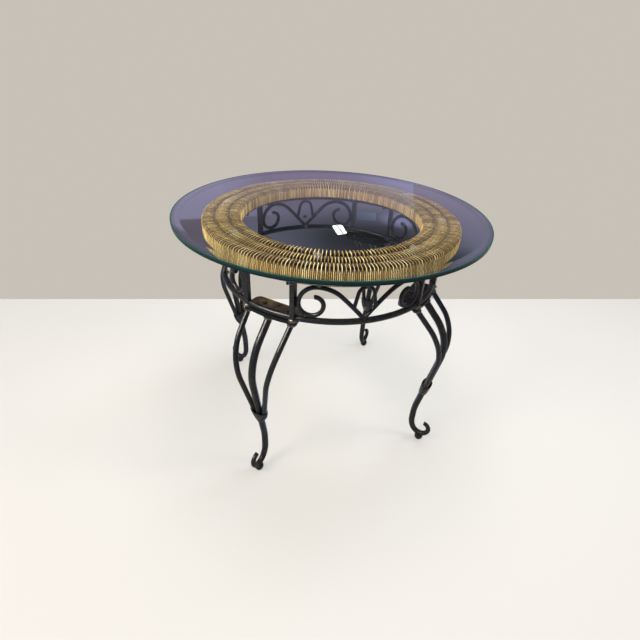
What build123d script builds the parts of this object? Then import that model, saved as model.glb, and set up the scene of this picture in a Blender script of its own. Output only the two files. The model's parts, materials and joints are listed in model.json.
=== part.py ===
from build123d import *
import os
from math import atan2, cos, degrees, radians, sin, sqrt

# Round side table: a loose glass disc lies on a woven cane ring, the ring lies on a forged iron
# frame of two hoops with scrollwork between them, and four forged legs are bolted under the frame.
# Millimetres, +Z up. The origin is on the floor, on the axis of the glass. The legs stand on the
# diagonals, so the four scrolled bays between them face +X, -X, +Y and -Y.

# Glass top and the clear bumpers that it lies on
glass_diameter = 914.0
glass_thickness = 12.0
glass_bevel_width = 24.0
glass_bevel_drop = 2.5
glass_edge_arris = 0.8
bumper_diameter = 22.0
bumper_height = 7.0
bumper_seat_depth = 0.8
bumper_count = 8

# Woven cane ring: three rows of cane over hoops, with the cane brought down both walls
woven_outer_radius = 376.0
woven_inner_radius = 267.0
woven_height = 39.5
weave_rows = 3
row_slope = 34.6
cane_diameter = 4.0
woven_corner_radius = 3.0

# Iron inside the woven ring
hoop_bar = 8.0
rim_band_thickness = 3.0
rim_band_height = 25.0
rib_thickness = 6.0
rib_standoff = 8.0
rib_seat_depth = 3.0
cane_clearance = 0.2

# Frame hoops and the posts between them
frame_inset = 50.5
frame_bar = 17.0
lower_ring_height = 560.0
apron_gap = 94.5
post_bar = 14.0
post_spread = 145.0
post_cope = 4.0
post_proud = 0.5

# Scrollwork of one bay
scroll_bar = 12.0
scroll_seat = 0.3
scroll_eye_radius = 22.0
scroll_belly_radius = 32.0
scroll_back_radius = 50.5
scroll_shoulder_radius = 80.0
scroll_slope = 46.0
scroll_eye_turn = 96.0
scroll_foot_rise = 4.5
arch_bar = 10.0
arch_radius = 21.5
arch_lean = 11.0
arch_leg = 43.0
arch_set_back = 1.3

# Plates that join the legs to the frame
plate_thickness = 5.0
plate_depth = 70.0
plate_inner_length = 156.0
plate_outer_length = 165.0
plate_corner_radius = 16.0
bolt_diameter = 6.0
bolt_clearance = 0.3
nut_clearance = 0.1
bolt_head_across_flats = 10.0
bolt_head_height = 4.0
nut_height = 5.0
bolt_tip = 2.0
bolt_inset = 15.0
bolt_spacing = 38.0
side_bolt_advance = 10.0

# Forged legs
leg_bar = 20.5
side_bar = 15.5
bow_radius = 160.0
knee_reach = 83.0
knee_drop = 156.5
neck_lean = 43.0
ankle_tuck = 46.0
ankle_height = 105.0
ankle_curve_radius = 250.0
heel_radius = 74.6
heel_turn = 30.0
sole_radius = 30.0
toe_radius = 27.0
curl_radius = 22.0
curl_turn = 84.0
toe_bar = 17.5
curl_bar = 13.5
side_bar_spread = 142.0
side_bar_splay = (1.0, 0.9, 0.75, 0.55, 0.0)
side_bar_tuck = 4.5
collar_height = 44.0
collar_rim_drop = 137.0
collar_width = 59.0
collar_depth = 32.0
collar_waist = 26.0
collar_wall = 2.0
collar_fit = 0.2
collar_shoulder_drop = 18.0
collar_shoulder_share = 0.8
pad_height = 18.0
pad_diameter = 28.0
pad_sole_diameter = 18.0
pad_wrap = 4.0
pad_belly_height = 10.0
pad_lip = 1.5

# Heights of the stack, from the lower hoop up
post_foot_z = lower_ring_height - frame_bar / 2
flange_top_z = post_foot_z - plate_thickness
flange_bottom_z = flange_top_z - plate_thickness
lower_ring_top_z = lower_ring_height + frame_bar / 2
upper_ring_height = lower_ring_top_z + apron_gap + frame_bar / 2
upper_ring_bottom_z = upper_ring_height - frame_bar / 2
upper_ring_top_z = upper_ring_height + frame_bar / 2
woven_bottom_z = upper_ring_top_z + rib_standoff
woven_top_z = woven_bottom_z + woven_height
glass_bottom_z = woven_top_z + bumper_height
glass_top_z = glass_bottom_z + glass_thickness

# Rows of the weave: each is an arc that is highest over its hoop
row_width = (woven_outer_radius - woven_inner_radius) / weave_rows
row_arc_radius = row_width / 2 / sin(radians(row_slope))
row_arc_z = woven_top_z - row_arc_radius
row_radii = [woven_inner_radius + row_width * (row + 0.5) for row in range(weave_rows)]
hoop_z = woven_top_z - cane_diameter - cane_clearance - hoop_bar / 2
under_cane_radius = row_arc_radius - cane_diameter - cane_clearance
rib_top_z = row_arc_z + sqrt(under_cane_radius**2 - row_width**2 / 4)

# Posts stand square to their leg, just proud of the hoops' outside
frame_radius = woven_outer_radius - frame_inset
post_y = post_spread / 2
post_face_x = sqrt((frame_radius + frame_bar / 2) ** 2 - (post_y - post_bar / 2) ** 2) + post_proud
post_x = post_face_x - post_bar / 2
post_angle = degrees(atan2(post_y, post_x))
bay_half_arc = radians(45 - post_angle) * frame_radius

# The calf is the straight that touches both the ankle's bend and the bow
knee_radius = frame_radius + knee_reach
knee_height = flange_bottom_z - knee_drop
ankle_radius = knee_radius - ankle_tuck
calf_rise = knee_height - ankle_height
calf_shift = knee_radius - ankle_radius - ankle_curve_radius - bow_radius
calf_bends = ankle_curve_radius + bow_radius
calf_length = sqrt(calf_shift**2 + calf_rise**2 - calf_bends**2)
calf_lean = 180 - degrees(atan2(calf_length, calf_bends)) - degrees(atan2(calf_rise, calf_shift))
collar_rim_height = knee_height - collar_rim_drop
side_bar_end_height = collar_rim_height - side_bar_tuck
side_bend_radius = bow_radius - leg_bar
foot_radius = ankle_radius + heel_radius - (heel_radius - sole_radius) * cos(radians(heel_turn))

CORNERS = {"front_left": 225, "front_right": 315, "back_right": 45, "back_left": 135}
BAYS = {"right": 0, "back": 90, "left": 180, "front": 270}
SIDES = {"left": -1, "right": 1}


def turned(shape, angle):
    """The shape turned about the table's axis."""
    return Rot(0, 0, angle) * shape


def largest(shape):
    """The one solid that is left of a bar when its ends are coped away."""
    return max(shape.solids(), key=lambda solid: solid.volume)


def coped(bar, *tools):
    """A bar with its ends cut to lie against each of the pieces it is welded to."""
    for tool in tools:
        bar = largest(bar - tool)
    return bar


def hoop(radius, bar, height):
    """A round bar bent into a full circle."""
    return Pos(0, 0, height) * Torus(radius, bar / 2)


def bar_along(path, diameter):
    """A round bar that follows a path."""
    start = Plane(origin=path @ 0, z_dir=path % 0)
    return sweep(start * Circle(diameter / 2), path=path)


def ring_band(outer, inner, bottom, top):
    """A plain ring with square edges."""
    band = Cylinder(outer, top - bottom) - Cylinder(inner, top - bottom)
    return Pos(0, 0, (bottom + top) / 2) * band


# Glass ---------------------------------------------------------------------------------------


def glass_top():
    """Clear disc with a wide polished bevel round its upper edge."""
    radius = glass_diameter / 2
    outline = Polyline(
        (0, glass_bottom_z),
        (radius - glass_edge_arris, glass_bottom_z),
        (radius, glass_bottom_z + glass_edge_arris),
        (radius, glass_top_z - glass_bevel_drop),
        (radius - glass_bevel_width, glass_top_z),
        (0, glass_top_z),
        close=True,
    )
    return revolve(Plane.XZ * make_face(outline), Axis.Z)


def glass_bumpers(weave):
    """Soft clear discs on the middle row, hollowed underneath to sit on the cane."""
    seat_z = woven_top_z - bumper_seat_depth
    height = glass_bottom_z - seat_z
    disc = Pos(row_radii[1], 0, seat_z + height / 2) * Cylinder(bumper_diameter / 2, height)
    step = 360 / bumper_count
    discs = [turned(disc, step * (turn + 0.5)) for turn in range(bumper_count)]
    return Compound(children=[coped(disc, weave) for disc in discs])


# Woven ring and the iron inside it -----------------------------------------------------------


def woven_section(inset, bottom):
    """Section of the woven ring: upright walls with one crowned arc for each row on top."""
    inner = woven_inner_radius + inset
    outer = woven_outer_radius - inset
    middle = (inner + outer) / 2
    top = woven_top_z + inset
    walls = Pos(middle, (bottom + row_arc_z) / 2) * Rectangle(outer - inner, row_arc_z - bottom)
    cap = Pos(middle, (top + row_arc_z) / 2) * Rectangle(outer - inner, top - row_arc_z)
    rows = Sketch() + [Pos(radius, row_arc_z) * Circle(row_arc_radius - inset) for radius in row_radii]
    return walls + (rows & cap)


def woven_ring():
    """The cane as one shell, open underneath, with rounded shoulders along both walls."""
    outside = woven_section(0, woven_bottom_z)
    shoulders = [v for v in outside.vertices() if v.Y > row_arc_z and is_on_wall(v)]
    outside = fillet(shoulders, woven_corner_radius)
    shell = outside - woven_section(cane_diameter, woven_bottom_z - cane_diameter)
    return revolve(Plane.XZ * shell, Axis.Z)


def is_on_wall(vertex):
    """Whether a point of the woven section lies on its inner or outer wall."""
    walls = (woven_inner_radius, woven_outer_radius)
    return min(abs(vertex.X - wall) for wall in walls) < 1e-3


def rim_bands():
    """Flat hoops on edge, just inside the two woven walls."""
    gap = cane_diameter + cane_clearance
    top = woven_bottom_z + rim_band_height
    outer = woven_outer_radius - gap
    inner = woven_inner_radius + gap
    return {
        "rim_band_outer": ring_band(outer, outer - rim_band_thickness, woven_bottom_z, top),
        "rim_band_inner": ring_band(inner + rim_band_thickness, inner, woven_bottom_z, top),
    }


def row_hoops():
    """Round hoops that the rows of cane pass over and under."""
    names = ("weave_hoop_inner", "weave_hoop_middle", "weave_hoop_outer")
    return {name: hoop(radius, hoop_bar, hoop_z) for name, radius in zip(names, row_radii)}


def ring_ribs(bands, hoops, upper_ring):
    """Radial bars on edge above the posts, notched over the upper hoop and under the row hoops."""
    gap = cane_diameter + cane_clearance + rim_band_thickness
    inner = woven_inner_radius + gap
    outer = woven_outer_radius - gap
    bottom = upper_ring_top_z - rib_seat_depth
    length = outer - inner + rim_band_thickness
    place = Pos((inner + outer) / 2, 0, (bottom + rib_top_z) / 2)
    bar = place * Box(length, rib_thickness, rib_top_z - bottom)
    ribs = []
    for corner in CORNERS.values():
        for side in SIDES.values():
            ribs.append(coped(turned(bar, corner + side * post_angle), upper_ring, *bands, *hoops))
    return Compound(children=ribs)


# Frame ---------------------------------------------------------------------------------------


def post(side):
    """Square bar from the leg plate past the lower hoop, coped under the upper hoop."""
    top = upper_ring_height - post_cope
    place = Pos(post_x, side * post_y, (post_foot_z + top) / 2)
    return place * Box(post_bar, post_bar, top - post_foot_z)


def post_slot(side):
    """Notch that lets a post into the outside of the lower hoop."""
    place = Pos(post_face_x - post_bar + frame_bar, side * post_y, lower_ring_height)
    return place * Box(2 * frame_bar, post_bar, 2 * frame_bar)


def on_frame(arc, height):
    """A point on the frame's circle, by its distance along the arc from the bay's middle."""
    angle = arc / frame_radius
    return Vector(frame_radius * cos(angle), frame_radius * sin(angle), height)


def scroll_path():
    """Centre line of a scroll: eye, belly and back in a flat spiral, then a long tail to the V."""
    belly_arc = bay_half_arc - post_bar / 2 - scroll_bar / 2 - scroll_belly_radius
    angle = belly_arc / frame_radius
    along = Vector(sin(angle), -cos(angle), 0)
    face = Plane(origin=on_frame(belly_arc, 0), x_dir=along, z_dir=Vector(-cos(angle), -sin(angle), 0))
    top_z = upper_ring_bottom_z - scroll_bar / 2 + scroll_seat
    top_x = scroll_back_radius - scroll_belly_radius
    back = JernArc((top_x, top_z), (-1, 0), scroll_back_radius, 90)
    belly = JernArc(back @ 1, back % 1, scroll_belly_radius, 180)
    eye = JernArc(belly @ 1, belly % 1, scroll_eye_radius, scroll_eye_turn)
    spiral = [face * edge for edge in (back, belly, eye)]
    slope = radians(scroll_slope)
    shoulder_arc = belly_arc - top_x - scroll_shoulder_radius * sin(slope)
    shoulder_z = top_z - scroll_shoulder_radius * (1 - cos(slope))
    top = spiral[0] @ 0
    shoulder = TangentArc(top, on_frame(shoulder_arc, shoulder_z), tangent=along)
    foot_z = lower_ring_height + scroll_foot_rise - scroll_bar / 2
    tail = TangentArc(shoulder @ 1, on_frame(-scroll_bar / 2, foot_z), tangent=shoulder % 1)
    return shoulder, tail, spiral


def scroll_blank():
    """One whole scroll, before its ends are fitted to the frame."""
    shoulder, tail, spiral = scroll_path()
    back_way = Wire([shoulder, tail])
    eye_way = Wire(spiral)
    return bar_along(back_way, scroll_bar) + bar_along(eye_way, scroll_bar)


def arch_blank():
    """Pointed loop between the two scrolls of a bay."""
    top_z = upper_ring_bottom_z - arch_bar / 2 + scroll_seat
    crown = CenterArc((0, top_z - arch_radius), arch_radius, arch_lean, 180 - 2 * arch_lean)
    right = Line(crown @ 0 - (crown % 0) * arch_leg, crown @ 0)
    left = Line(crown @ 1, crown @ 1 + (crown % 1) * arch_leg)
    face = Plane(origin=(frame_radius - arch_set_back, 0, 0), x_dir=(0, 1, 0), z_dir=(1, 0, 0))
    return bar_along(face * Wire([right, crown, left]), arch_bar)


# Legs ----------------------------------------------------------------------------------------


def plate_outline():
    """Plate under one pair of posts: its outer edge follows the hoop, its inner corners are round."""
    outer = frame_radius + frame_bar / 2
    outer_y = plate_outer_length / 2
    outer_x = sqrt(outer**2 - outer_y**2)
    inner_x = outer - plate_depth
    inner_y = plate_inner_length / 2
    corners = [(outer_x, outer_y), (inner_x, inner_y), (inner_x, -inner_y), (outer_x, -outer_y)]
    edge = Polyline(*corners) + ThreePointArc(corners[3], (outer, 0), corners[0])
    face = make_face(edge)
    inner_corners = [v for v in face.vertices() if v.X < inner_x + 1e-3]
    return fillet(inner_corners, plate_corner_radius)


def bolt_places():
    """Middle and two side bolts of one leg, along the inner edge of the plate."""
    row = frame_radius + frame_bar / 2 - plate_depth + bolt_inset
    advanced = row + side_bolt_advance
    return [(row, 0), (advanced, bolt_spacing), (advanced, -bolt_spacing)]


def leg_plate(bottom):
    """Drilled plate; the same outline serves on the frame and on the leg."""
    plate = Pos(0, 0, bottom) * extrude(plate_outline(), plate_thickness)
    hole = Cylinder(bolt_diameter / 2 + bolt_clearance, 4 * plate_thickness)
    return plate - [Pos(x, y, bottom) * hole for x, y in bolt_places()]


def leg_bolt():
    """Hexagon bolt with its head on the frame's plate, at the origin of its seat."""
    head = extrude(RegularPolygon(bolt_head_across_flats / 2, 6, major_radius=False), bolt_head_height)
    length = 2 * plate_thickness + nut_height + bolt_tip
    return head + Pos(0, 0, -length / 2) * Cylinder(bolt_diameter / 2, length)


def leg_nut():
    """Hexagon nut under the leg's plate."""
    blank = extrude(RegularPolygon(bolt_head_across_flats / 2, 6, major_radius=False), nut_height)
    return blank - Cylinder(bolt_diameter / 2 + nut_clearance, 4 * nut_height)


def leg_curve():
    """Centre line of a leg in its upright plane, from the sole up to the neck under the plate."""
    start = (foot_radius, pad_height + toe_bar / 2)
    sole = JernArc(start, (-1, 0), sole_radius, heel_turn - 90)
    heel = JernArc(sole @ 1, sole % 1, heel_radius, -heel_turn)
    shin = Line(heel @ 1, (ankle_radius, ankle_height))
    ankle = JernArc(shin @ 1, (0, 1), ankle_curve_radius, -calf_lean)
    calf = Line(ankle @ 1, ankle @ 1 + (ankle % 1) * calf_length)
    bow = JernArc(calf @ 1, calf % 1, bow_radius, calf_lean + neck_lean)
    neck_rise = flange_bottom_z + leg_bar - (bow @ 1).Y
    neck = Line(bow @ 1, bow @ 1 + (bow % 1) * neck_rise / (bow % 1).Y)
    return sole, heel, shin, ankle, calf, bow, neck


def toe_curve():
    """Centre line of the scrolled toe, from the sole outwards and up."""
    toe = JernArc((foot_radius, pad_height + toe_bar / 2), (1, 0), toe_radius, 90)
    curl = JernArc(toe @ 1, toe % 1, curl_radius, curl_turn)
    return toe, curl


def section_at(path, end, diameter):
    """Round section square to a path at one of its ends."""
    return Plane(origin=path @ end, z_dir=path % end) * Circle(diameter / 2)


def tapered_bar(path, first, last):
    """A round bar that is drawn down evenly along one bend."""
    sections = [section_at(path, 0, first), section_at(path, 1, last)]
    return sweep(sections, path=path, multisection=True)


def leg_centre_bar():
    """Heavy middle bar of a leg, from the plate down to the scrolled toe."""
    sole, heel, *shank = [Plane.XZ * edge for edge in leg_curve()]
    toe, curl = [Plane.XZ * edge for edge in toe_curve()]
    heel_bar = (leg_bar + toe_bar) / 2
    neck_bar = (toe_bar + curl_bar) / 2
    bar = bar_along(Wire(shank), leg_bar)
    bar += tapered_bar(heel, heel_bar, leg_bar) + tapered_bar(sole, toe_bar, heel_bar)
    bar += tapered_bar(toe, toe_bar, neck_bar) + tapered_bar(curl, neck_bar, curl_bar)
    return coped(bar, above_flange())


def above_flange():
    """All the space above the underside of the leg's plate."""
    return Pos(knee_radius, 0, flange_bottom_z + leg_bar) * Box(knee_radius, knee_radius, 2 * leg_bar)


def side_bar_path(side):
    """Centre line of a side bar: it bows like the middle bar and closes in on it towards the collar."""
    *_, calf, bow, neck = leg_curve()
    turns = len(side_bar_splay) - 2
    step = (neck_lean + calf_lean) / turns
    centre = Vector(knee_radius - bow_radius, knee_height)
    reach = bow_radius / cos(radians(step / 2))
    corners = [neck @ 1]
    for turn in range(turns):
        bearing = neck_lean - step * (turn + 0.5)
        corners.append(centre + Vector(reach, 0).rotate(Axis.Z, bearing))
    corners.append(calf @ 1 - (calf % 1) * ((calf @ 1).Y - side_bar_end_height) / (calf % 1).Y)
    gathered = (leg_bar + side_bar) / 2 + collar_fit
    splayed = side_bar_spread / 2 - gathered
    points = [
        (corner.X, side * (gathered + splayed * share), corner.Y)
        for corner, share in zip(corners, side_bar_splay)
    ]
    return FilletPolyline(*points, radius=side_bend_radius)


def leg_side_bar(side):
    """Lighter outer bar of a leg, from the plate into the collar."""
    return coped(bar_along(side_bar_path(side), side_bar), above_flange())


def leg_collar():
    """Funnel-shaped collar that gathers the three bars of a leg."""
    calf = leg_curve()[4]
    heading = calf % 1
    rim = calf @ 1 - heading * ((calf @ 1).Y - collar_rim_height) / heading.Y
    down = Vector(-heading.X, 0, -heading.Y)
    seat = Plane(origin=(rim.X, 0, rim.Y), x_dir=(0, 1, 0), z_dir=down)
    outside = funnel(collar_width / 2, collar_depth / 2, collar_waist / 2)
    bore = leg_bar / 2 + collar_fit
    inside = funnel(collar_width / 2 - collar_wall, collar_depth / 2 - collar_wall, bore)
    return seat * (outside - inside)


def funnel(half_width, half_depth, waist):
    """Solid funnel: an oval mouth that rounds in to a circle."""
    shoulder_width = waist + (half_width - waist) * collar_shoulder_share
    shoulder_depth = waist + (half_depth - waist) * collar_shoulder_share
    sections = [
        Ellipse(half_width, half_depth),
        Pos(0, 0, collar_shoulder_drop) * Ellipse(shoulder_width, shoulder_depth),
        Pos(0, 0, collar_height) * Circle(waist),
    ]
    return loft(sections)


def foot_pad():
    """Round glide under the toe, with a rounded edge and a seat hollowed for the bar."""
    sole = (pad_sole_diameter / 2, 0)
    belly = (pad_diameter / 2, pad_belly_height)
    top = pad_height + pad_wrap
    lip = (pad_diameter / 2 - pad_lip, top)
    outline = Polyline(lip, (0, top), (0, 0), sole) + ThreePointArc(sole, belly, lip)
    return Pos(foot_radius, 0, 0) * revolve(Plane.XZ * make_face(outline), Axis.Z)


# Assembly ------------------------------------------------------------------------------------


def build():
    """Every piece of the table by its name."""
    weave = woven_ring()
    bands = rim_bands()
    hoops = row_hoops()
    upper_ring = hoop(frame_radius, frame_bar, upper_ring_height)
    lower_ring = hoop(frame_radius, frame_bar, lower_ring_height)
    pieces = {"glass_top": glass_top(), "glass_bumpers": glass_bumpers(weave), "woven_ring": weave}
    pieces.update(bands)
    pieces.update(hoops)
    pieces["ring_ribs"] = ring_ribs(bands.values(), hoops.values(), upper_ring)
    pieces["upper_ring"] = upper_ring

    slots = []
    for corner, angle in CORNERS.items():
        for hand, side in SIDES.items():
            pieces[f"post_{corner}_{hand}"] = coped(turned(post(side), angle), upper_ring)
            slots.append(turned(post_slot(side), angle))
    pieces["lower_ring"] = coped(lower_ring, *slots)

    half = Pos(frame_radius, -frame_radius, lower_ring_height) * Box(*[2 * frame_radius] * 3)
    neighbours = [turned(post(side), -side * 45) for side in SIDES.values()]
    fitted = coped(scroll_blank(), half, lower_ring, upper_ring, *neighbours)
    pair = {"left": mirror(fitted, Plane.XZ), "right": fitted}
    loop = coped(arch_blank(), upper_ring, *pair.values())
    for bay, angle in BAYS.items():
        for hand, scroll in pair.items():
            pieces[f"scroll_{bay}_bay_{hand}"] = turned(scroll, angle)
        pieces[f"arch_{bay}_bay"] = turned(loop, angle)

    centre_bar = leg_centre_bar()
    leg = {
        "frame_plate": leg_plate(flange_top_z),
        "leg_flange": leg_plate(flange_bottom_z),
        "leg_centre_bar": centre_bar,
        "leg_collar": leg_collar(),
    }
    side_bars = {hand: leg_side_bar(side) for hand, side in SIDES.items()}
    pad = coped(foot_pad(), centre_bar)
    for corner, angle in CORNERS.items():
        for name, piece in leg.items():
            pieces[f"{name}_{corner}"] = turned(piece, angle)
        for hand, piece in side_bars.items():
            pieces[f"leg_side_bar_{corner}_{hand}"] = turned(piece, angle)
    angles = CORNERS.values()
    bolts = [Pos(x, y, post_foot_z) * leg_bolt() for x, y in bolt_places()]
    nuts = [Pos(x, y, flange_bottom_z - nut_height) * leg_nut() for x, y in bolt_places()]
    pieces["foot_pads"] = Compound(children=[turned(pad, angle) for angle in angles])
    pieces["leg_bolts"] = Compound(children=[turned(bolt, a) for a in angles for bolt in bolts])
    pieces["leg_nuts"] = Compound(children=[turned(nut, a) for a in angles for nut in nuts])
    return pieces


os.makedirs("parts", exist_ok=True)
for name, piece in build().items():
    export_step(piece, f"parts/{name}.step")
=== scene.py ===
import json
import math

import bmesh
import bpy
from mathutils import Matrix, Vector, noise


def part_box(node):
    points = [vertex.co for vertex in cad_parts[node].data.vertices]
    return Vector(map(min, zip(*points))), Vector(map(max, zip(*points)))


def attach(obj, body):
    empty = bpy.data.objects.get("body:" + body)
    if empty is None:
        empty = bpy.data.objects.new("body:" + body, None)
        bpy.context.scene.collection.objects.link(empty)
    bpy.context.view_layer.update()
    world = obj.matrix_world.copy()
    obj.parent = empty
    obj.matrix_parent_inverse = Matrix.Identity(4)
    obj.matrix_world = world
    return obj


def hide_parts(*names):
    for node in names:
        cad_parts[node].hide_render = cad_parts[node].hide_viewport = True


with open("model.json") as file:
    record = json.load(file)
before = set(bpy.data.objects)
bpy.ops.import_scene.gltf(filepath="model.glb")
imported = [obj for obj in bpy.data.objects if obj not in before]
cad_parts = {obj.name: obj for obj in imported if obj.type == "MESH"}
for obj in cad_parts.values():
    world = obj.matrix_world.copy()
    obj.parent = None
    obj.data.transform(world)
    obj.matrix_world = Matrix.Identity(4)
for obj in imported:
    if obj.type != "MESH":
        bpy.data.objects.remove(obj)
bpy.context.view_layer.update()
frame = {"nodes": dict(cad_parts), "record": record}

# Round table: a loose glass disc on a woven cane ring, over a forged iron frame and four forged legs.
# Metres, +Z up, with the origin on the floor under the middle of the glass.

millimetre = 0.001

# The wander of reeds and welds is the same in every run
WANDER_SEED = 1
noise.seed_set(WANDER_SEED)

# Camera: its square picture in pixels, sensor and lens in millimetres, and turns in degrees
IMAGE_SIDE = 640
SENSOR = 36.0
LENS = 23.567
CAMERA_PLACE = Vector((-0.3691, -1.1607, 1.1455))
CAMERA_HEADING = 16.79
CAMERA_DROP = 33.10
CAMERA_ROLL = 3.06
# The row of the picture along which the wall stands on the floor
WALL_ROW = 299

# Colours of the room, in linear light
FLOOR_COLOUR = (0.866, 0.848, 0.804)
WALL_COLOUR = (0.578, 0.533, 0.474)
SKY_COLOUR = (0.86, 0.87, 0.92)
SKY_STRENGTH = 0.6
ROOM_REACH = 9.0

# Shares of the floor's colour that take light, that glow by themselves, and that gloss mirrors
FLOOR_LIT = 0.17
FLOOR_GLOW = 0.535
FLOOR_MIRRORED = 0.18

# The floor seen through glass: a dim room in painted shade, darkest round a centre, in (distance, colour)
# steps
SHADE_CENTRE = Vector((0.75, 1.45, 0.0))
SHADE_TONES = (
    (0.12, (0.026, 0.028, 0.034)),
    (0.3, (0.042, 0.044, 0.055)),
    (0.5, (0.088, 0.093, 0.125)),
    (0.8, (0.150, 0.147, 0.205)),
    (1.0, (0.135, 0.123, 0.163)),
    (1.3, (0.150, 0.126, 0.163)),
    (1.6, (0.165, 0.132, 0.190)),
    (2.0, (0.160, 0.122, 0.195)),
    (2.6, (0.190, 0.150, 0.250)),
)
# Over it come dusk beyond a line on the left and all along the right, a painted gleam of light and a spot
# of painted shade. Each has the two ends of its fade.
DUSK_COLOUR = (0.290, 0.272, 0.395)
DUSK_LINE = (2.03, 2.07)
DUSK_LEFT = (-0.2, 0.3)
DUSK_RIGHT = (1.2, 1.8)
DUSK_RIGHT_SHARE = 0.5
GLEAM_CENTRE = Vector((1.18, 1.80, 0.0))
GLEAM_COLOUR = (0.240, 0.240, 0.390)
GLEAM_FADE = (0.08, 0.22)
GLOOM_CENTRE = Vector((1.12, 0.88, 0.0))
GLOOM_COLOUR = (0.030, 0.042, 0.046)
GLOOM_FADE = (0.15, 0.45)

# What glass and iron mirror of the room: pale and mauve near the horizon, dark above it
MIRRORED_LOW = (0.290, 0.260, 0.400)
MIRRORED_HIGH = (0.026, 0.029, 0.038)
MIRRORED_FADE = (0.24, 0.36)

RISING = (0.0, 1.0)
FALLING = (1.0, 0.0)


def rgba(colour):
    """A colour with full alpha, as the colour sockets want it."""
    return (*colour, 1.0)


def add(tree, kind, inputs=None, **settings):
    """A new shader node, with its settings and with values or links for its inputs."""
    node = tree.nodes.new(kind)
    for name, value in settings.items():
        setattr(node, name, value)
    for name, value in (inputs or {}).items():
        if isinstance(value, bpy.types.NodeSocket):
            tree.links.new(value, node.inputs[name])
        else:
            node.inputs[name].default_value = value
    return node


def finish_on(name):
    """A new material, its node tree and its main shader."""
    material = bpy.data.materials.new(name)
    material.use_nodes = True
    tree = material.node_tree
    return material, tree, tree.nodes["Principled BSDF"]


def ramp(tree, factor, *stops):
    """A colour ramp through (position, colour) stops."""
    node = add(tree, "ShaderNodeValToRGB", {"Fac": factor})
    marks = node.color_ramp.elements
    while len(marks) < len(stops):
        marks.new(0.5)
    for mark, (position, colour) in zip(marks, stops):
        mark.position = position
        mark.color = rgba(colour)
    return node.outputs["Color"]


def object_place(tree):
    """Object coordinates."""
    return add(tree, "ShaderNodeTexCoord").outputs["Object"]


def mottle(tree, scale, detail=4.0, roughness=0.6):
    """Cloudy noise on object coordinates."""
    inputs = {"Vector": object_place(tree), "Scale": scale, "Detail": detail, "Roughness": roughness}
    return add(tree, "ShaderNodeTexNoise", inputs).outputs["Fac"]


def blend_colour(tree, share, first, second, how="MIX"):
    """Two colours, of which the second comes in by a share."""
    node = add(tree, "ShaderNodeMix", data_type="RGBA", blend_type=how)
    sockets = (node.inputs[0], node.inputs[6], node.inputs[7])
    for socket, value in zip(sockets, (share, first, second)):
        if isinstance(value, bpy.types.NodeSocket):
            tree.links.new(value, socket)
        else:
            socket.default_value = value if isinstance(value, float) else rgba(value)
    return node.outputs[2]


def rescale(tree, value, reach, onto):
    """A value taken from one range to another, and held inside it."""
    ends = {"From Min": reach[0], "From Max": reach[1], "To Min": onto[0], "To Max": onto[1]}
    return add(tree, "ShaderNodeMapRange", {"Value": value, **ends}).outputs["Result"]


def arithmetic(tree, operation, first, second):
    """One sum on two values."""
    return add(tree, "ShaderNodeMath", {0: first, 1: second}, operation=operation).outputs[0]


def set_bump(tree, shader, height, strength, distance):
    """A bump from a height between 0 and 1."""
    inputs = {"Height": height, "Strength": strength, "Distance": distance}
    tree.links.new(add(tree, "ShaderNodeBump", inputs).outputs["Normal"], shader.inputs["Normal"])


# Finishes ------------------------------------------------------------------------------------

# Cane: the painted shade of its depths, and how much of a reed's tone is its own, the rest being patches
SHADED_CANE = (0.016, 0.011, 0.006)
REED_OWN_SHADE = 0.7
# Plates: their scale, where rust fades inside the hoop, and the x + y over which rust fades from the
# front-left plate to its share on the others
PLATE_SCALE = (0.003, 0.004, 0.006)
HOOP_FADE = 6 * millimetre
RUST_SIDE_FADE = (-0.3, -0.2)
FAR_SIDE_RUST = 0.1
# Glass: tints of the disc and of the band by its rim, how cloudy they are, and what shadow rays keep
GLASS_TINT = (0.938, 0.950, 0.962)
GLASS_BAND_TINT = (0.60, 0.72, 0.66)
GLASS_CLOUD = 0.008
GLASS_SHADOW = (0.90, 0.93, 0.92)
RIM_SHADOW = (0.3, 0.6, 0.55)
# How pale the rim gets at its top, a painted highlight, and how much its colour wavers
RIM_PAINTED_HIGHLIGHT = 0.85
RIM_WAVE = 0.3


def black_iron():
    """Forged bar: blue-black scale rubbed to a dark brown, waxed to a sheen, with hammer marks."""
    material, tree, shader = finish_on("black_iron")
    broad = mottle(tree, 9.0, detail=3.0)
    fine = mottle(tree, 140.0, detail=5.0)
    scale = ramp(tree, broad, (0.36, (0.004, 0.006, 0.010)), (0.62, (0.010, 0.009, 0.008)))
    worn = ramp(tree, fine, (0.56, (0.0, 0.0, 0.0)), (0.84, (0.045, 0.040, 0.032)))
    tree.links.new(blend_colour(tree, 1.0, scale, worn, "ADD"), shader.inputs["Base Color"])
    tree.links.new(rescale(tree, fine, (0.3, 0.8), (0.24, 0.42)), shader.inputs["Roughness"])
    shader.inputs["Specular IOR Level"].default_value = 0.36
    hammered = add(tree, "ShaderNodeMix", {0: 0.4, 2: mottle(tree, 45.0, detail=2.0), 3: fine})
    set_bump(tree, shader, hammered.outputs[0], strength=0.32, distance=1.2 * millimetre)
    return material


def weld_iron():
    """Rougher iron of the weld beads, with lighter tan grains that are a painted highlight."""
    material, tree, shader = finish_on("weld_iron")
    grain = mottle(tree, 160.0)
    # Painted highlight: the grains run up to a light tan
    colour = ramp(tree, grain, (0.42, (0.014, 0.012, 0.011)), (0.72, (0.14, 0.12, 0.095)))
    tree.links.new(colour, shader.inputs["Base Color"])
    shader.inputs["Specular IOR Level"].default_value = 0.9
    shader.inputs["Roughness"].default_value = 0.28
    set_bump(tree, shader, grain, strength=0.6, distance=1.0 * millimetre)
    return material


def facing_up(tree):
    """1 on the faces that look up, and 0 on walls and undersides."""
    facing = add(tree, "ShaderNodeSeparateXYZ", {0: add(tree, "ShaderNodeTexCoord").outputs["Normal"]})
    return rescale(tree, facing.outputs["Z"], (0.3, 0.8), RISING)


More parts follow.
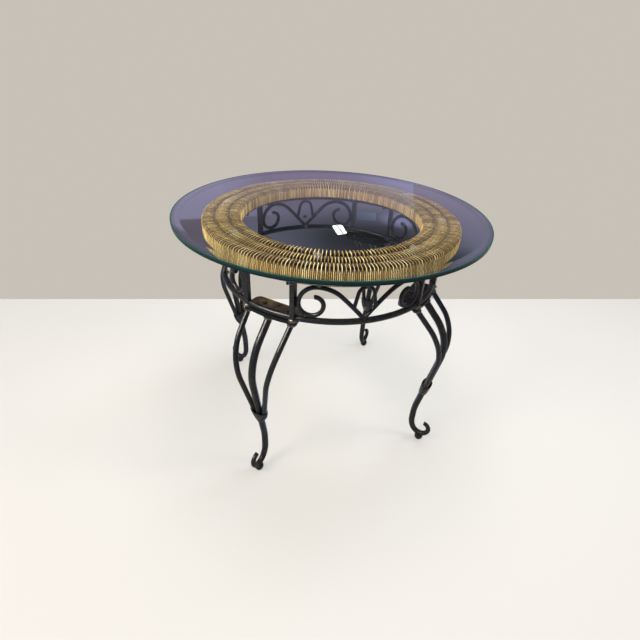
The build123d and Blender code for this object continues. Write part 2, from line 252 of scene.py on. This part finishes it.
def inside_hoop(tree):
    """1 inside the lower hoop, and 0 from the hoop's middle line outwards."""
    low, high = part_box("lower_ring")
    hoop = high.x - (high.z - low.z) / 2
    level = add(tree, "ShaderNodeVectorMath", {0: object_place(tree), 1: (1, 1, 0)}, operation="MULTIPLY")
    reach = add(tree, "ShaderNodeVectorMath", {0: level.outputs[0]}, operation="LENGTH")
    return rescale(tree, reach.outputs["Value"], (hoop - HOOP_FADE, hoop), FALLING)


def on_front_left(tree):
    """1 on the plate toward -X and -Y, and low on the others."""
    side = add(tree, "ShaderNodeVectorMath", {0: object_place(tree), 1: (1, 1, 0)}, operation="DOT_PRODUCT")
    return rescale(tree, side.outputs["Value"], RUST_SIDE_FADE, (1.0, FAR_SIDE_RUST))


def rusty_plate():
    """Flat plate: black scale, with brown rust on top and inside the hoop, mostly on one plate."""
    material, tree, shader = finish_on("rusty_plate")
    broad = mottle(tree, 26.0, detail=5.0, roughness=0.7)
    rust = ramp(
        tree,
        broad,
        (0.34, (0.008, 0.005, 0.004)),
        (0.52, (0.020, 0.012, 0.007)),
        (0.72, (0.052, 0.031, 0.016)),
    )
    rusted = arithmetic(tree, "MULTIPLY", facing_up(tree), inside_hoop(tree))
    rusted = arithmetic(tree, "MULTIPLY", rusted, on_front_left(tree))
    tree.links.new(blend_colour(tree, rusted, PLATE_SCALE, rust), shader.inputs["Base Color"])
    tree.links.new(rescale(tree, broad, (0.3, 0.7), (0.38, 0.7)), shader.inputs["Roughness"])
    shader.inputs["Specular IOR Level"].default_value = 0.25
    set_bump(tree, shader, mottle(tree, 240.0), strength=0.5, distance=0.8 * millimetre)
    return material


def bolt_steel():
    """Dull bright steel of the bolt heads and nuts."""
    material, tree, shader = finish_on("bolt_steel")
    grain = mottle(tree, 300.0)
    colour = ramp(tree, grain, (0.35, (0.020, 0.018, 0.016)), (0.65, (0.075, 0.068, 0.060)))
    tree.links.new(colour, shader.inputs["Base Color"])
    shader.inputs["Metallic"].default_value = 0.8
    shader.inputs["Roughness"].default_value = 0.42
    return material


def clear_bumper():
    """Soft clear silicone."""
    material, tree, shader = finish_on("clear_bumper")
    cloud = mottle(tree, 90.0)
    tint = ramp(tree, cloud, (0.3, (0.62, 0.64, 0.62)), (0.7, (0.78, 0.79, 0.77)))
    tree.links.new(tint, shader.inputs["Base Color"])
    shader.inputs["Alpha"].default_value = 0.04
    shader.inputs["Roughness"].default_value = 0.3
    return material


def clear_glass(name, tint):
    """Clear plate glass of a given tint. Lamps shine through it."""
    material, tree, shader = finish_on(name)
    cloudy = [part - GLASS_CLOUD for part in tint]
    tree.links.new(ramp(tree, mottle(tree, 2.0), (0.3, cloudy), (0.7, tint)), shader.inputs["Base Color"])
    shader.inputs["Transmission Weight"].default_value = 1.0
    shader.inputs["Roughness"].default_value = 0.0
    shader.inputs["IOR"].default_value = 1.5
    let_lamps_through(tree, shader, GLASS_SHADOW)
    return material


def glass_rim():
    """Polished rim, where the whole width of the disc lends it a deep sea green, with a painted highlight
    that makes it palest at its top.
    """
    material, tree, shader = finish_on("glass_rim")
    low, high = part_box("glass_top")
    level = add(tree, "ShaderNodeSeparateXYZ", {0: object_place(tree)}).outputs["Z"]
    # Painted highlight: paler toward the rim's top
    height = rescale(tree, level, (low.z, high.z), (0.0, RIM_PAINTED_HIGHLIGHT))
    wave = arithmetic(tree, "MULTIPLY", mottle(tree, 14.0, detail=3.0), RIM_WAVE)
    colour = ramp(
        tree,
        arithmetic(tree, "ADD", height, wave),
        (0.12, (0.002, 0.006, 0.009)),
        (0.55, (0.005, 0.016, 0.017)),
        (0.95, (0.008, 0.029, 0.028)),
    )
    tree.links.new(colour, shader.inputs["Base Color"])
    shader.inputs["Roughness"].default_value = 0.1
    shader.inputs["Specular IOR Level"].default_value = 0.12
    let_lamps_through(tree, shader, RIM_SHADOW)
    return material


def let_lamps_through(tree, shader, tint):
    """Shadow rays pass a glass surface with a light tint."""
    clear = add(tree, "ShaderNodeBsdfTransparent", {"Color": rgba(tint)})
    lamp = add(tree, "ShaderNodeLightPath").outputs["Is Shadow Ray"]
    mix = add(tree, "ShaderNodeMixShader", {0: lamp, 1: shader.outputs[0], 2: clear.outputs[0]})
    tree.links.new(mix.outputs[0], tree.nodes["Material Output"].inputs["Surface"])


def cane():
    """Round cane under thin lacquer: each reed has its own tone, and painted shade darkens its deep
    stretches, its flanks and its foot.
    """
    material, tree, shader = finish_on("cane")
    reed = add(tree, "ShaderNodeAttribute", attribute_name="reed").outputs["Fac"]
    painted_shade = add(tree, "ShaderNodeAttribute", attribute_name="painted_shade").outputs["Fac"]
    own = add(tree, "ShaderNodeTexWhiteNoise", {"W": reed}, noise_dimensions="1D").outputs["Value"]
    own = arithmetic(tree, "MULTIPLY", own, REED_OWN_SHADE)
    patches = arithmetic(tree, "MULTIPLY", mottle(tree, 26.0, roughness=0.65), 1 - REED_OWN_SHADE)
    colour = ramp(
        tree,
        arithmetic(tree, "ADD", own, patches),
        (0.15, (0.30, 0.165, 0.045)),
        (0.38, (0.56, 0.355, 0.110)),
        (0.60, (0.78, 0.545, 0.205)),
        (0.85, (0.96, 0.76, 0.36)),
    )
    # Painted shade from the reeds' depth, flanks and foot turns the colour toward the dark of the depths
    shaded = rescale(tree, painted_shade, (0.14, 0.46), RISING)
    tree.links.new(blend_colour(tree, shaded, colour, SHADED_CANE), shader.inputs["Base Color"])
    shader.inputs["Roughness"].default_value = 0.38
    shader.inputs["Specular IOR Level"].default_value = 0.35
    shader.inputs["Coat Weight"].default_value = 0.1
    shader.inputs["Coat Roughness"].default_value = 0.25
    set_bump(tree, shader, mottle(tree, 700.0, detail=2.0), strength=0.25, distance=0.3 * millimetre)
    return material


def shaded_hoop():
    """The hoops under the reeds: near-black iron in the painted shade of the weave's depths."""
    material, tree, shader = finish_on("shaded_hoop")
    # Painted shade: the hoops take the dark of the weave's depths
    hoop_shade = ramp(tree, mottle(tree, 90.0), (0.3, (0.006, 0.005, 0.004)), (0.7, SHADED_CANE))
    tree.links.new(hoop_shade, shader.inputs["Base Color"])
    shader.inputs["Roughness"].default_value = 0.8
    return material


# Shapes --------------------------------------------------------------------------------------


def piece(name, mesh, body, slot, *materials):
    """A finished piece in the scene, riding on a body of the table."""
    data = bpy.data.meshes.new(name)
    mesh.to_mesh(data)
    mesh.free()
    for material in materials:
        data.materials.append(material)
    made = bpy.data.objects.new(name, data)
    bpy.context.scene.collection.objects.link(made)
    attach(made, body)
    return made


def smooth(mesh, sharpest):
    """Smooth shading, with a hard line at every edge that turns by more than an angle in degrees."""
    for face in mesh.faces:
        face.smooth = True
    for edge in mesh.edges:
        edge.smooth = len(edge.link_faces) == 2 and edge.calc_face_angle() < math.radians(sharpest)


def turned(outline, steps):
    """A solid turned about the table's axis from its half-section, listed as (radius, height)."""
    mesh = bmesh.new()
    points = [mesh.verts.new((radius, 0, height)) for radius, height in outline]
    lines = [mesh.edges.new(pair) for pair in zip(points, points[1:])]
    turn = {"cent": (0, 0, 0), "axis": (0, 0, 1), "angle": 2 * math.pi, "steps": steps}
    bmesh.ops.spin(mesh, geom=points + lines, use_merge=True, **turn)
    bmesh.ops.remove_doubles(mesh, verts=mesh.verts, dist=1e-6)
    bmesh.ops.recalc_face_normals(mesh, faces=mesh.faces)
    return mesh


# The disc: the outermost part of its bevel has the rim's colour, and a band inside that is tinted. Its
# bevel is so flat that any edge sharper than a few degrees stays a hard line.
GLASS_BEVEL = 24 * millimetre
GLASS_DROP = 1.5 * millimetre
GLASS_ARRIS = 0.8 * millimetre
GLASS_EDGE = 3.5 * millimetre
GLASS_BAND = 11 * millimetre
GLASS_STEPS = 192
GLASS_SHARPEST = 2.5


def glass_top():
    """The disc with its bevelled upper edge, which looks greener toward the rim."""
    low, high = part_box("glass_top")
    fall = GLASS_DROP / GLASS_BEVEL
    outline = [
        (0, low.z),
        (high.x - GLASS_ARRIS, low.z),
        (high.x, low.z + GLASS_ARRIS),
        (high.x, high.z - GLASS_DROP),
        (high.x - GLASS_EDGE, high.z - GLASS_DROP + GLASS_EDGE * fall),
        (high.x - GLASS_BAND, high.z - GLASS_DROP + GLASS_BAND * fall),
        (high.x - GLASS_BEVEL, high.z),
        (0, high.z),
    ]
    mesh = turned(outline, GLASS_STEPS)
    for face in mesh.faces:
        middle = face.calc_center_median()
        outermost = middle.xy.length > high.x - GLASS_EDGE
        banded = middle.xy.length > high.x - GLASS_BAND and middle.z > low.z + GLASS_ARRIS
        face.material_index = 1 if outermost else 2 if banded else 0
    smooth(mesh, GLASS_SHARPEST)
    clear = clear_glass("clear_glass", GLASS_TINT)
    rim = glass_rim()
    band = clear_glass("banded_glass", GLASS_BAND_TINT)
    disc = piece("glass_disc", mesh, "glass", "clear_glass", clear, rim, band)
    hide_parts("glass_top")


# The weave: reeds come up the outer wall and pass over and under the two outer hoops, and fewer reeds
# come up the inner wall and pass over or under the inner hoop. Both kinds dive under at the joint.
OUTER_REEDS = 504
INNER_REEDS = 370
REED_SIDES = 6
# A reed is thick at its first stops, up the wall, and thin across the hoops
REED_THICK = 4 * millimetre
REED_THIN = 3.3 * millimetre
WALL_STOPS = 3
# It turns in at a shoulder, and starts lower where it goes under its first hoop
SHOULDER_DROP = 7 * millimetre
SHOULDER_IN = 2 * millimetre
UNDER_DROP = 2 * millimetre
# In shares of the hoops' pitch: how long it stays near its crest, where it crosses, and where it ends
REED_HOLD = 0.31
REED_HALFWAY = 0.5
REED_TUCK = 0.8
# In shares of its swing: how near its crest it stays, and how far down it crosses
REED_HOLD_SWING = 0.74
REED_CROSSING = 0.4
# How dark the painted shade makes it at full depth and on its flanks, and how high the painted shade at its
# foot reaches
DEPTH_PAINTED_SHADE = 0.7
FLANK_PAINTED_SHADE = 0.62
FOOT_PAINTED_SHADE = 3 * millimetre
REED_WANDER = 0.25 * millimetre
REED_WAVES = 60


def weave_hoops():
    """Radius, height and bar radius of the three hoops that the reeds are woven on, from the inside out."""
    hoops = []
    for name in ("weave_hoop_inner", "weave_hoop_middle", "weave_hoop_outer"):
        low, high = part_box(name)
        bar = (high.z - low.z) / 2
        hoops.append((high.x - bar, (high.z + low.z) / 2, bar))
    return hoops


def reed_route(hoops, way, first_over):
    """(radius, height, painted shade) along one reed, from the foot of a wall across its hoops and down
    under.
    """
    low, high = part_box("woven_ring")
    pitch = weave_hoops()[1][0] - weave_hoops()[0][0]
    half = REED_THICK / 2
    crest = high.z - half
    under = hoops[0][1] - hoops[0][2] - half
    middle = crest - (crest - under) * REED_CROSSING
    wall = hoops[0][0] - way * (pitch / 2 - half)
    shoulder = crest - (0 if first_over else UNDER_DROP)
    # Painted shade is full at the foot of the wall, and at the shoulder of a reed that goes under
    route = [(wall, low.z, 1), (wall, low.z + FOOT_PAINTED_SHADE, 0), (wall, shoulder - SHOULDER_DROP, 0)]
    route.append((wall + way * SHOULDER_IN, shoulder - SHOULDER_DROP / 3, 0 if first_over else 1))
    steps = [(-REED_HALFWAY, 0), (-REED_HOLD, REED_HOLD_SWING), (0, 1), (REED_HOLD, REED_HOLD_SWING)]
    for place, (radius, _, _) in enumerate(hoops):
        level = crest if (place % 2 == 0) == first_over else under
        for step, swing in steps if place else steps[1:]:
            height = middle + (level - middle) * swing
            route.append((radius + way * step * pitch, height, (crest - height) / (crest - under)))
    last = hoops[-1][0]
    route.append((last + way * REED_HALFWAY * pitch, middle, REED_CROSSING))
    route.append((last + way * REED_TUCK * pitch, under, 1))
    return route


def reed(mesh, route, angle):
    """One reed: round sections along its route, bridged to each other."""
    painted_shade = mesh.verts.layers.float["painted_shade"]
    last = len(route) - 1
    across = Vector((0, 1, 0))
    loops = []
    for index, (radius, height, depth) in enumerate(route):
        before, after = route[max(index - 1, 0)], route[min(index + 1, last)]
        along = Vector((after[0] - before[0], 0, after[1] - before[1])).normalized()
        axes = Matrix((across, along.cross(across), along)).transposed()
        place = Matrix.Rotation(angle, 4, "Z") @ Matrix.Translation((radius, 0, height)) @ axes.to_4x4()
        ends = index in (0, last)
        half = (REED_THICK if index < WALL_STOPS else REED_THIN) / 2
        ring = bmesh.ops.create_circle(mesh, segments=REED_SIDES, radius=half, matrix=place, cap_ends=ends)
        for vert in ring["verts"]:
            # Painted shade grows with depth and toward the reed's flanks
            aside = abs((place.inverted() @ vert.co).x) / half
            vert[painted_shade] = depth * DEPTH_PAINTED_SHADE + aside * FLANK_PAINTED_SHADE
        loops.append(list({edge for vert in ring["verts"] for edge in vert.link_edges}))
    for pair in zip(loops, loops[1:]):
        bmesh.ops.bridge_loops(mesh, edges=pair[0] + pair[1])


def woven_reeds(name, count, hoops, way):
    """All the reeds of one wall, over and under its hoops by turns."""
    mesh = bmesh.new()
    mesh.verts.layers.float.new("painted_shade")
    mesh.verts.layers.float.new("reed")
    step = 2 * math.pi / count
    reed(mesh, reed_route(hoops, way, True), 0.0)
    reed(mesh, reed_route(hoops, way, False), step)
    bmesh.ops.recalc_face_normals(mesh, faces=mesh.faces)
    everything = mesh.verts[:] + mesh.edges[:] + mesh.faces[:]
    pairs = count // 2
    turn = {"cent": (0, 0, 0), "axis": (0, 0, 1), "angle": 2 * step * (pairs - 1), "steps": pairs - 1}
    bmesh.ops.spin(mesh, geom=everything, use_duplicate=True, **turn)
    number = mesh.verts.layers.float["reed"]
    for vert in mesh.verts:
        vert[number] = round(math.atan2(vert.co.y, vert.co.x) / step)
        vert.co.xy += noise.noise_vector(vert.co * REED_WAVES).xy * REED_WANDER
    for face in mesh.faces:
        face.smooth = len(face.verts) == 4
    return piece(name, mesh, "frame", "woven_cane", CANE)


def woven_ring():
    """The cane of the whole ring."""
    inner, middle, outer = weave_hoops()
    reeds = [
        woven_reeds("woven_reeds_outer", OUTER_REEDS, (outer, middle), -1),
        woven_reeds("woven_reeds_inner", INNER_REEDS, (inner,), 1),
    ]
    for made in reeds:
        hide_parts("woven_ring")


# Welds: a flared bead where a bar meets a plate or a hoop, and a lump where a bar lies on a hoop
BEAD_FLARE = 4 * millimetre
BEAD_RISE = 7 * millimetre
BEAD_GRIP = 0.9
BEAD_SIDES = 20
LUMP_RADIUS = 8 * millimetre
LUMP_FLATNESS = 0.7
WELD_EDGE = 1 * millimetre
WELD_WANDER = 1.2 * millimetre
WELD_WAVES = 110
WELD_SHARPEST = 60
END_SLICE = 0.5 * millimetre


def bar_end(node, top):
    """Middle of a bar's upper or lower end, and half its width there."""
    low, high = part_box(node)
    level = high.z if top else low.z
    ends = [vert.co for vert in frame["nodes"][node].data.vertices if abs(vert.co.z - level) < END_SLICE]
    middle = sum(ends, Vector()) / len(ends)
    return middle, max((point - middle).length for point in ends)


def flared_bead(mesh, node, top):
    """A cone of weld round the end of a bar, widest where the bar stops."""
    middle, half = bar_end(node, top)
    way = -1 if top else 1
    wide, narrow = half + BEAD_FLARE, half * BEAD_GRIP
    lower, upper = (narrow, wide) if top else (wide, narrow)
    cone = {"radius1": lower, "radius2": upper, "depth": BEAD_RISE, "segments": BEAD_SIDES}
    place = Matrix.Translation(middle + Vector((0, 0, way * BEAD_RISE / 2)))
    bmesh.ops.create_cone(mesh, cap_ends=True, matrix=place, **cone)


def weld_lump(mesh, node, top):
    """A low lump where a curved bar touches a hoop."""
    middle, _ = bar_end(node, top)
    shape = Matrix.Translation(middle) @ Matrix.Diagonal((1, 1, LUMP_FLATNESS, 1))
    bmesh.ops.create_icosphere(mesh, subdivisions=2, radius=LUMP_RADIUS, matrix=shape)


def welds():
    """Every weld of the frame and the legs."""
    mesh = bmesh.new()
    for node in frame["nodes"]:
        if node.startswith(("leg_centre_bar", "leg_side_bar")):
            flared_bead(mesh, node, True)
        if node.startswith("post_"):
            flared_bead(mesh, node, True)
            flared_bead(mesh, node, False)
        if node.startswith(("scroll_", "arch_")):
            weld_lump(mesh, node, True)
            weld_lump(mesh, node, False)
    rounding = {"offset": WELD_EDGE, "segments": 1, "profile": 0.5, "material": -1, "affect": "EDGES"}
    bmesh.ops.bevel(mesh, geom=mesh.edges[:], **rounding)
    for vert in mesh.verts:
        vert.co += noise.noise_vector(vert.co * WELD_WAVES) * WELD_WANDER
    smooth(mesh, WELD_SHARPEST)
    piece("welds", mesh, "frame", "black_iron", weld_iron())


# The room ------------------------------------------------------------------------------------


def place_camera():
    """The camera, tilted a little to its left."""
    data = bpy.data.cameras.new("camera")
    data.lens = LENS
    data.sensor_width = SENSOR
    camera = bpy.data.objects.new("camera", data)
    bpy.context.scene.collection.objects.link(camera)
    heading = Matrix.Rotation(-math.radians(CAMERA_HEADING), 4, "Z")
    drop = Matrix.Rotation(math.radians(90 - CAMERA_DROP), 4, "X")
    roll = Matrix.Rotation(math.radians(CAMERA_ROLL), 4, "Z")
    camera.matrix_world = Matrix.Translation(CAMERA_PLACE) @ heading @ drop @ roll
    bpy.context.scene.camera = camera
    return camera


def sight(camera, column, row):
    """Direction from the camera through a place in the picture."""
    half = IMAGE_SIDE / 2
    across = (column - half) / half * SENSOR / 2
    up = (half - row) / half * SENSOR / 2
    return (camera.matrix_world.to_3x3() @ Vector((across, up, -LENS))).normalized()


def floor_point(camera, column, row):
    """The place on the floor that the camera sees at a place in the picture."""
    way = sight(camera, column, row)
    return CAMERA_PLACE - way * (CAMERA_PLACE.z / way.z)


def away_from(tree, centre):
    """Distance from a point."""
    inputs = {0: object_place(tree), 1: centre}
    return add(tree, "ShaderNodeVectorMath", inputs, operation="DISTANCE").outputs["Value"]


def floor_through_glass(tree):
    """The floor's tones behind glass, with painted shade round a centre, a painted gleam and a spot of
    painted shade.
    """
    reach = SHADE_TONES[-1][0]
    near = arithmetic(tree, "DIVIDE", away_from(tree, SHADE_CENTRE), reach)
    shade = ramp(tree, near, *[(distance / reach, tone) for distance, tone in SHADE_TONES])
    place = add(tree, "ShaderNodeSeparateXYZ", {0: object_place(tree)}).outputs
    beyond = rescale(tree, place["Y"], DUSK_LINE, RISING)
    left = arithmetic(tree, "MULTIPLY", beyond, rescale(tree, place["X"], DUSK_LEFT, FALLING))
    right = rescale(tree, place["X"], DUSK_RIGHT, (0.0, DUSK_RIGHT_SHARE))
    shade = blend_colour(tree, arithmetic(tree, "MAXIMUM", left, right), shade, DUSK_COLOUR)
    gleam = rescale(tree, away_from(tree, GLEAM_CENTRE), GLEAM_FADE, FALLING)
    shade = blend_colour(tree, gleam, shade, GLEAM_COLOUR)
    gloom = rescale(tree, away_from(tree, GLOOM_CENTRE), GLOOM_FADE, FALLING)
    return blend_colour(tree, gloom, shade, GLOOM_COLOUR)


def floor_material():
    """A pale floor that takes some light, glows for the camera, and has another tone behind glass."""
    material = bpy.data.materials.new("floor")
    material.use_nodes = True
    tree = material.node_tree
    path = add(tree, "ShaderNodeLightPath").outputs
    lit = add(tree, "ShaderNodeBsdfDiffuse", {"Color": rgba([part * FLOOR_LIT for part in FLOOR_COLOUR])})
    mirrored = arithmetic(tree, "MULTIPLY", path["Is Glossy Ray"], FLOOR_MIRRORED)
    seen = arithmetic(tree, "MAXIMUM", path["Is Camera Ray"], mirrored)
    glow = arithmetic(tree, "MULTIPLY", seen, FLOOR_GLOW)
    own = add(tree, "ShaderNodeEmission", {"Color": rgba(FLOOR_COLOUR), "Strength": glow})
    both = add(tree, "ShaderNodeAddShader", {0: lit.outputs[0], 1: own.outputs[0]})
    glazed = add(tree, "ShaderNodeEmission", {"Color": floor_through_glass(tree)})
    glass = path["Is Transmission Ray"]
    mix = add(tree, "ShaderNodeMixShader", {0: glass, 1: both.outputs[0], 2: glazed.outputs[0]})
    tree.links.new(mix.outputs[0], tree.nodes["Material Output"].inputs["Surface"])
    return material


def wall_material():
    """A wall of one even tone, clear from behind."""
    material = bpy.data.materials.new("wall")
    material.use_nodes = True
    tree = material.node_tree
    own = add(tree, "ShaderNodeEmission", {"Color": rgba(WALL_COLOUR)}).outputs[0]
    clear = add(tree, "ShaderNodeBsdfTransparent").outputs[0]
    behind = add(tree, "ShaderNodeNewGeometry").outputs["Backfacing"]
    mix = add(tree, "ShaderNodeMixShader", {0: behind, 1: own, 2: clear})
    tree.links.new(mix.outputs[0], tree.nodes["Material Output"].inputs["Surface"])
    return material


def flat_face(name, corners, material):
    """A flat four-cornered surface of the room."""
    mesh = bmesh.new()
    mesh.faces.new([mesh.verts.new(corner) for corner in corners])
    data = bpy.data.meshes.new(name)
    mesh.to_mesh(data)
    mesh.free()
    data.materials.append(material)
    surface = bpy.data.objects.new(name, data)
    bpy.context.scene.collection.objects.link(surface)
    return surface


def hide_from(surface, *senses):
    """Makes a surface of the room unseen by some kinds of ray."""
    for sense in senses:
        setattr(surface, "visible_" + sense, False)


def room(camera):
    """Pale floor, with a pale wall whose foot is level in the picture."""
    far = ROOM_REACH
    corners = [(-far, -far, 0), (far, -far, 0), (far, far, 0), (-far, far, 0)]
    flat_face("floor", corners, floor_material())
    left = floor_point(camera, 0, WALL_ROW)
    right = floor_point(camera, IMAGE_SIDE, WALL_ROW)
    along = (right - left).normalized() * far
    middle = (left + right) / 2
    up = Vector((0, 0, far))
    corners = [middle - along, middle + along, middle + along + up, middle - along + up]
    wall = flat_face("wall", corners, wall_material())
    hide_from(wall, "diffuse", "glossy", "transmission", "shadow")


def mirror_point(camera, column, row, reach):
    """The place, at a distance, that the top of the glass mirrors at a place in the picture."""
    way = sight(camera, column, row)
    _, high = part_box("glass_top")
    spot = CAMERA_PLACE - way * ((CAMERA_PLACE.z - high.z) / way.z)
    return spot + Vector((way.x, way.y, -way.z)) * reach


def glowing_card(name, corners, colour, strengths):
    """A card that only shows as a reflection, with its own glow at each corner."""
    material = bpy.data.materials.new(name)
    material.use_nodes = True
    tree = material.node_tree
    level = add(tree, "ShaderNodeAttribute", attribute_name="glow").outputs["Fac"]
    glow = add(tree, "ShaderNodeEmission", {"Color": rgba(colour), "Strength": level}).outputs[0]
    clear = add(tree, "ShaderNodeBsdfTransparent").outputs[0]
    both = add(tree, "ShaderNodeAddShader", {0: glow, 1: clear}).outputs[0]
    tree.links.new(both, tree.nodes["Material Output"].inputs["Surface"])
    card = flat_face(name, corners, material)
    card.data.attributes.new("glow", "FLOAT", "POINT").data.foreach_set("value", strengths)
    hide_from(card, "camera", "diffuse", "transmission", "shadow", "volume_scatter")


def mirrored_card(camera, name, reach, colour, strengths, places):
    """A card that the glass mirrors, with its corners at (column, row) places in the picture."""
    glowing_card(name, [mirror_point(camera, *place, reach) for place in places], colour, strengths)


# A blue sheen that the iron mirrors, from a card that lies on the floor under the table
SHEEN_CORNERS = ((-0.25, -0.2, 0.003), (0.05, -0.2, 0.003), (0.05, 0.12, 0.003), (-0.25, 0.12, 0.003))
SHEEN_COLOUR = (0.30, 0.52, 1.0)
SHEEN_GLOW = (2.2,) * 4

# Cards that the glass mirrors: how far off, and the glow and the (column, row) of each corner
MIRRORED_CARDS = {
    "mirrored_window": {
        "reach": 2.6,
        "colour": (0.36, 0.50, 1.0),
        "strengths": (0.0, 0.75, 0.15, 0.0),
        "places": ((330, 160), (413, 160), (414, 226), (335, 226)),
    },
    "mirrored_pane": {
        "reach": 2.5,
        "colour": (0.36, 0.66, 1.0),
        "strengths": (0.10, 0.36, 0.30, 0.10),
        "places": ((357, 212), (376, 213), (376, 221), (357, 220)),
    },
    "mirrored_tube_left": {
        "reach": 2.4,
        "colour": (1.0, 1.0, 0.97),
        "strengths": (9.0, 9.0, 9.0, 9.0),
        "places": ((332, 226), (336, 225), (343, 234), (338, 235)),
    },
    "mirrored_tube_right": {
        "reach": 2.4,
        "colour": (1.0, 1.0, 0.97),
        "strengths": (9.0, 9.0, 9.0, 9.0),
        "places": ((337, 225), (342, 225), (347, 233), (344, 234)),
    },
}


def reflections(camera):
    """What the room lends the glass and the iron: a pale window, a lamp with two tubes, and a sheen."""
    glowing_card("sheen", SHEEN_CORNERS, SHEEN_COLOUR, SHEEN_GLOW)
    for name, card in MIRRORED_CARDS.items():
        mirrored_card(camera, name, **card)


# Lamps: name, place, side, power, colour, and whether the glass and the iron show them
LAMPS = (
    ("key", (-2.1, -0.9, 2.3), 0.8, 84.0, (1.0, 0.92, 0.81), True),
    ("left_strip", (-2.1, -0.3, 1.7), 0.4, 24.0, (1.0, 0.92, 0.84), True),
    ("right_warm", (2.0, -0.9, 2.4), 0.6, 66.0, (1.0, 0.90, 0.80), False),
    ("front_fill", (-0.9, -2.6, 1.7), 1.2, 28.0, (1.0, 0.96, 0.84), False),
    ("cool_window", (1.5, 0.6, 2.6), 0.7, 52.0, (0.64, 0.79, 1.0), False),
    ("overhead", (0.1, 0.2, 2.6), 1.0, 92.0, (1.0, 0.93, 0.92), False),
)
LAMP_AIM = Vector((0, 0, 0.6))


def lamp(name, place, side, power, colour, shown):
    """A square soft light aimed at the middle of the table."""
    data = bpy.data.lights.new(name, "AREA")
    data.size = side
    data.energy = power
    data.color = colour
    light = bpy.data.objects.new(name, data)
    bpy.context.scene.collection.objects.link(light)
    light.location = place
    light.visible_glossy = shown
    light.visible_transmission = shown
    light.rotation_mode = "QUATERNION"
    light.rotation_quaternion = (LAMP_AIM - Vector(place)).to_track_quat("-Z", "Y")


def sky():
    """Even light from all round. The camera sees the wall's colour in it, and glass and iron a dim room."""
    world = bpy.data.worlds.new("studio")
    bpy.context.scene.world = world
    world.use_nodes = True
    tree = world.node_tree
    path = add(tree, "ShaderNodeLightPath").outputs
    even = {"Color": rgba(SKY_COLOUR), "Strength": SKY_STRENGTH}
    light = add(tree, "ShaderNodeBackground", even).outputs[0]
    seen = add(tree, "ShaderNodeBackground", {"Color": rgba(WALL_COLOUR)}).outputs[0]
    way = add(tree, "ShaderNodeSeparateXYZ", {0: add(tree, "ShaderNodeTexCoord").outputs["Generated"]})
    low = rescale(tree, way.outputs["Z"], MIRRORED_FADE, FALLING)
    tone = blend_colour(tree, low, MIRRORED_HIGH, MIRRORED_LOW)
    mirrored = add(tree, "ShaderNodeBackground", {"Color": tone}).outputs[0]
    mix = add(tree, "ShaderNodeMixShader", {0: path["Is Camera Ray"], 1: light, 2: seen}).outputs[0]
    glass = arithmetic(tree, "MAXIMUM", path["Is Glossy Ray"], path["Is Transmission Ray"])
    mix = add(tree, "ShaderNodeMixShader", {0: glass, 1: mix, 2: mirrored}).outputs[0]
    tree.links.new(mix, tree.nodes["World Output"].inputs["Surface"])


# Assembly ------------------------------------------------------------------------------------

FINISHES = {
    "clear_bumper": clear_bumper(),
    "black_iron": black_iron(),
    "rusty_plate": rusty_plate(),
    "bolt_steel": bolt_steel(),
}
HOOP_SHADE_FINISH = shaded_hoop()
CANE = cane()


def finish_cad_nodes():
    """Gives each piece of the frame the finish of its slot, and gives the hoops inside the weave the
    painted shade of its depths.
    """
    for part in frame["record"]["subparts"]:
        finish = FINISHES.get(part["material_slot"])
        if part["node"].startswith("weave_hoop"):
            finish = HOOP_SHADE_FINISH
        if finish:
            for slot in frame["nodes"][part["node"]].material_slots:
                slot.material = finish


bpy.context.scene.view_settings.view_transform = "Standard"
finish_cad_nodes()
glass_top()
woven_ring()
welds()
camera = place_camera()
room(camera)
reflections(camera)
for settings in LAMPS:
    lamp(*settings)
sky()
